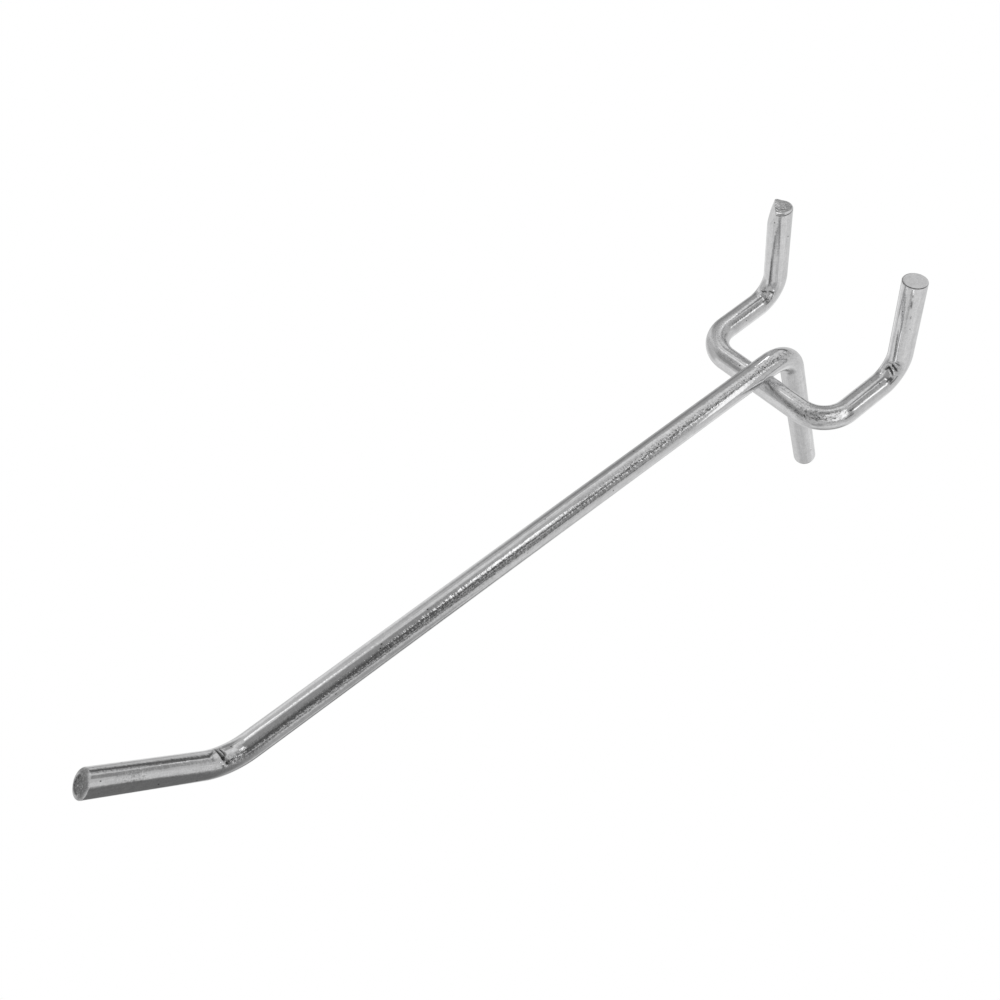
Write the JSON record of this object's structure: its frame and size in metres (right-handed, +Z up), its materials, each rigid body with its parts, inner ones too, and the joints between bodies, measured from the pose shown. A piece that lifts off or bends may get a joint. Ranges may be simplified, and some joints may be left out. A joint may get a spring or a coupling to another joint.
{
  "type": "pegboard hook",
  "caption": "Pegboard hook of bent zinc-plated steel wire: a long rising arm with an upturned tip, welded to a cross wire with pegs that lock behind the board.",
  "frame": {"origin": "on the board's front face, midway between the two board holes; the leg lies on this face", "axes": "+Z up along the board, +Y into the board, -Y out from the board along the arm, +X to the right as seen from the front"},
  "size_m": [0.0292, 0.1282, 0.0758],
  "materials": {
    "zinc_plate": "bright zinc plating over drawn steel wire, smooth and near mirror bright"
  },
  "bodies": {
    "root": {"arm_wire": "zinc_plate", "cross_wire": "zinc_plate", "weld_bead": "zinc_plate"}
  },
  "joints": []
}
